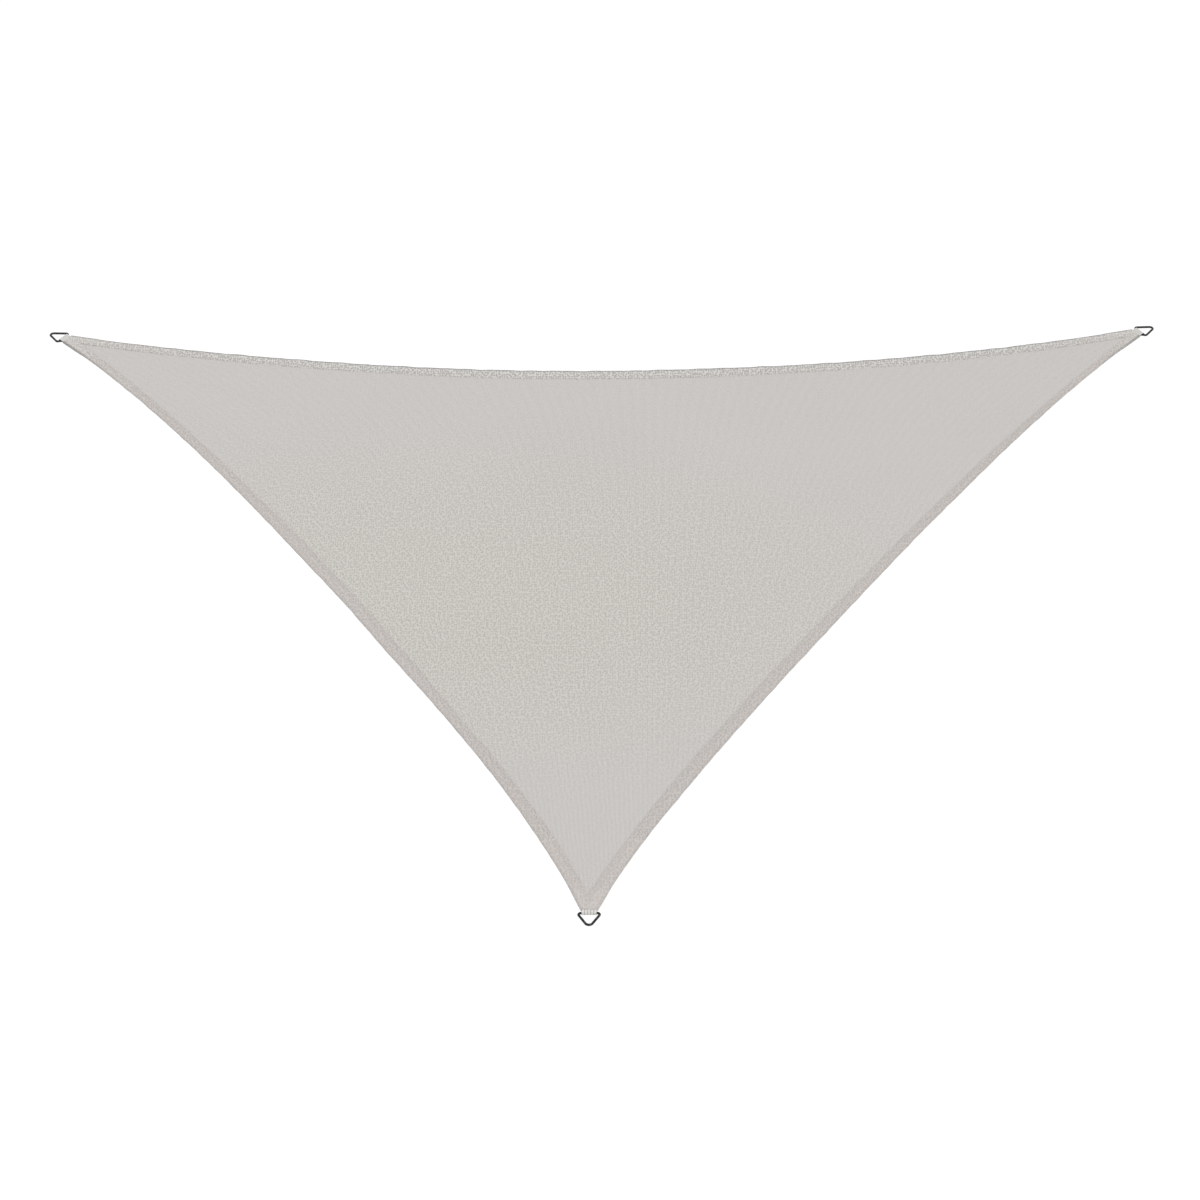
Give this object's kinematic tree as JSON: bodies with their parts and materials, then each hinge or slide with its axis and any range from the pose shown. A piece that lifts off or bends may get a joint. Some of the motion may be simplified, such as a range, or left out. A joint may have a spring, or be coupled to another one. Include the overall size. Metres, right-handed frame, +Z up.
{
  "type": "shade sail",
  "caption": "Triangular knitted shade sail with hollow-cut hemmed edges, hanging in a shallow bowl between steel corner rings on webbing loops.",
  "frame": {"origin": "inside the tip of the near corner ring, in the middle of its wire's height, where a hook bears", "axes": "+Z up; the near corner points along -Y, and the back edge runs along X between the left and right corners"},
  "size_m": [3.0828, 2.673, 0.0714],
  "materials": {
    "knit": "matt knitted polyethylene, light warm grey",
    "webbing": "flat woven webbing, pale grey",
    "steel": "polished stainless wire"
  },
  "bodies": {
    "root": {"sail_cloth": "knit", "webbing_loop_near": "webbing", "webbing_loop_right": "webbing", "webbing_loop_left": "webbing", "corner_ring_near": "steel", "corner_ring_right": "steel", "corner_ring_left": "steel"}
  },
  "joints": []
}
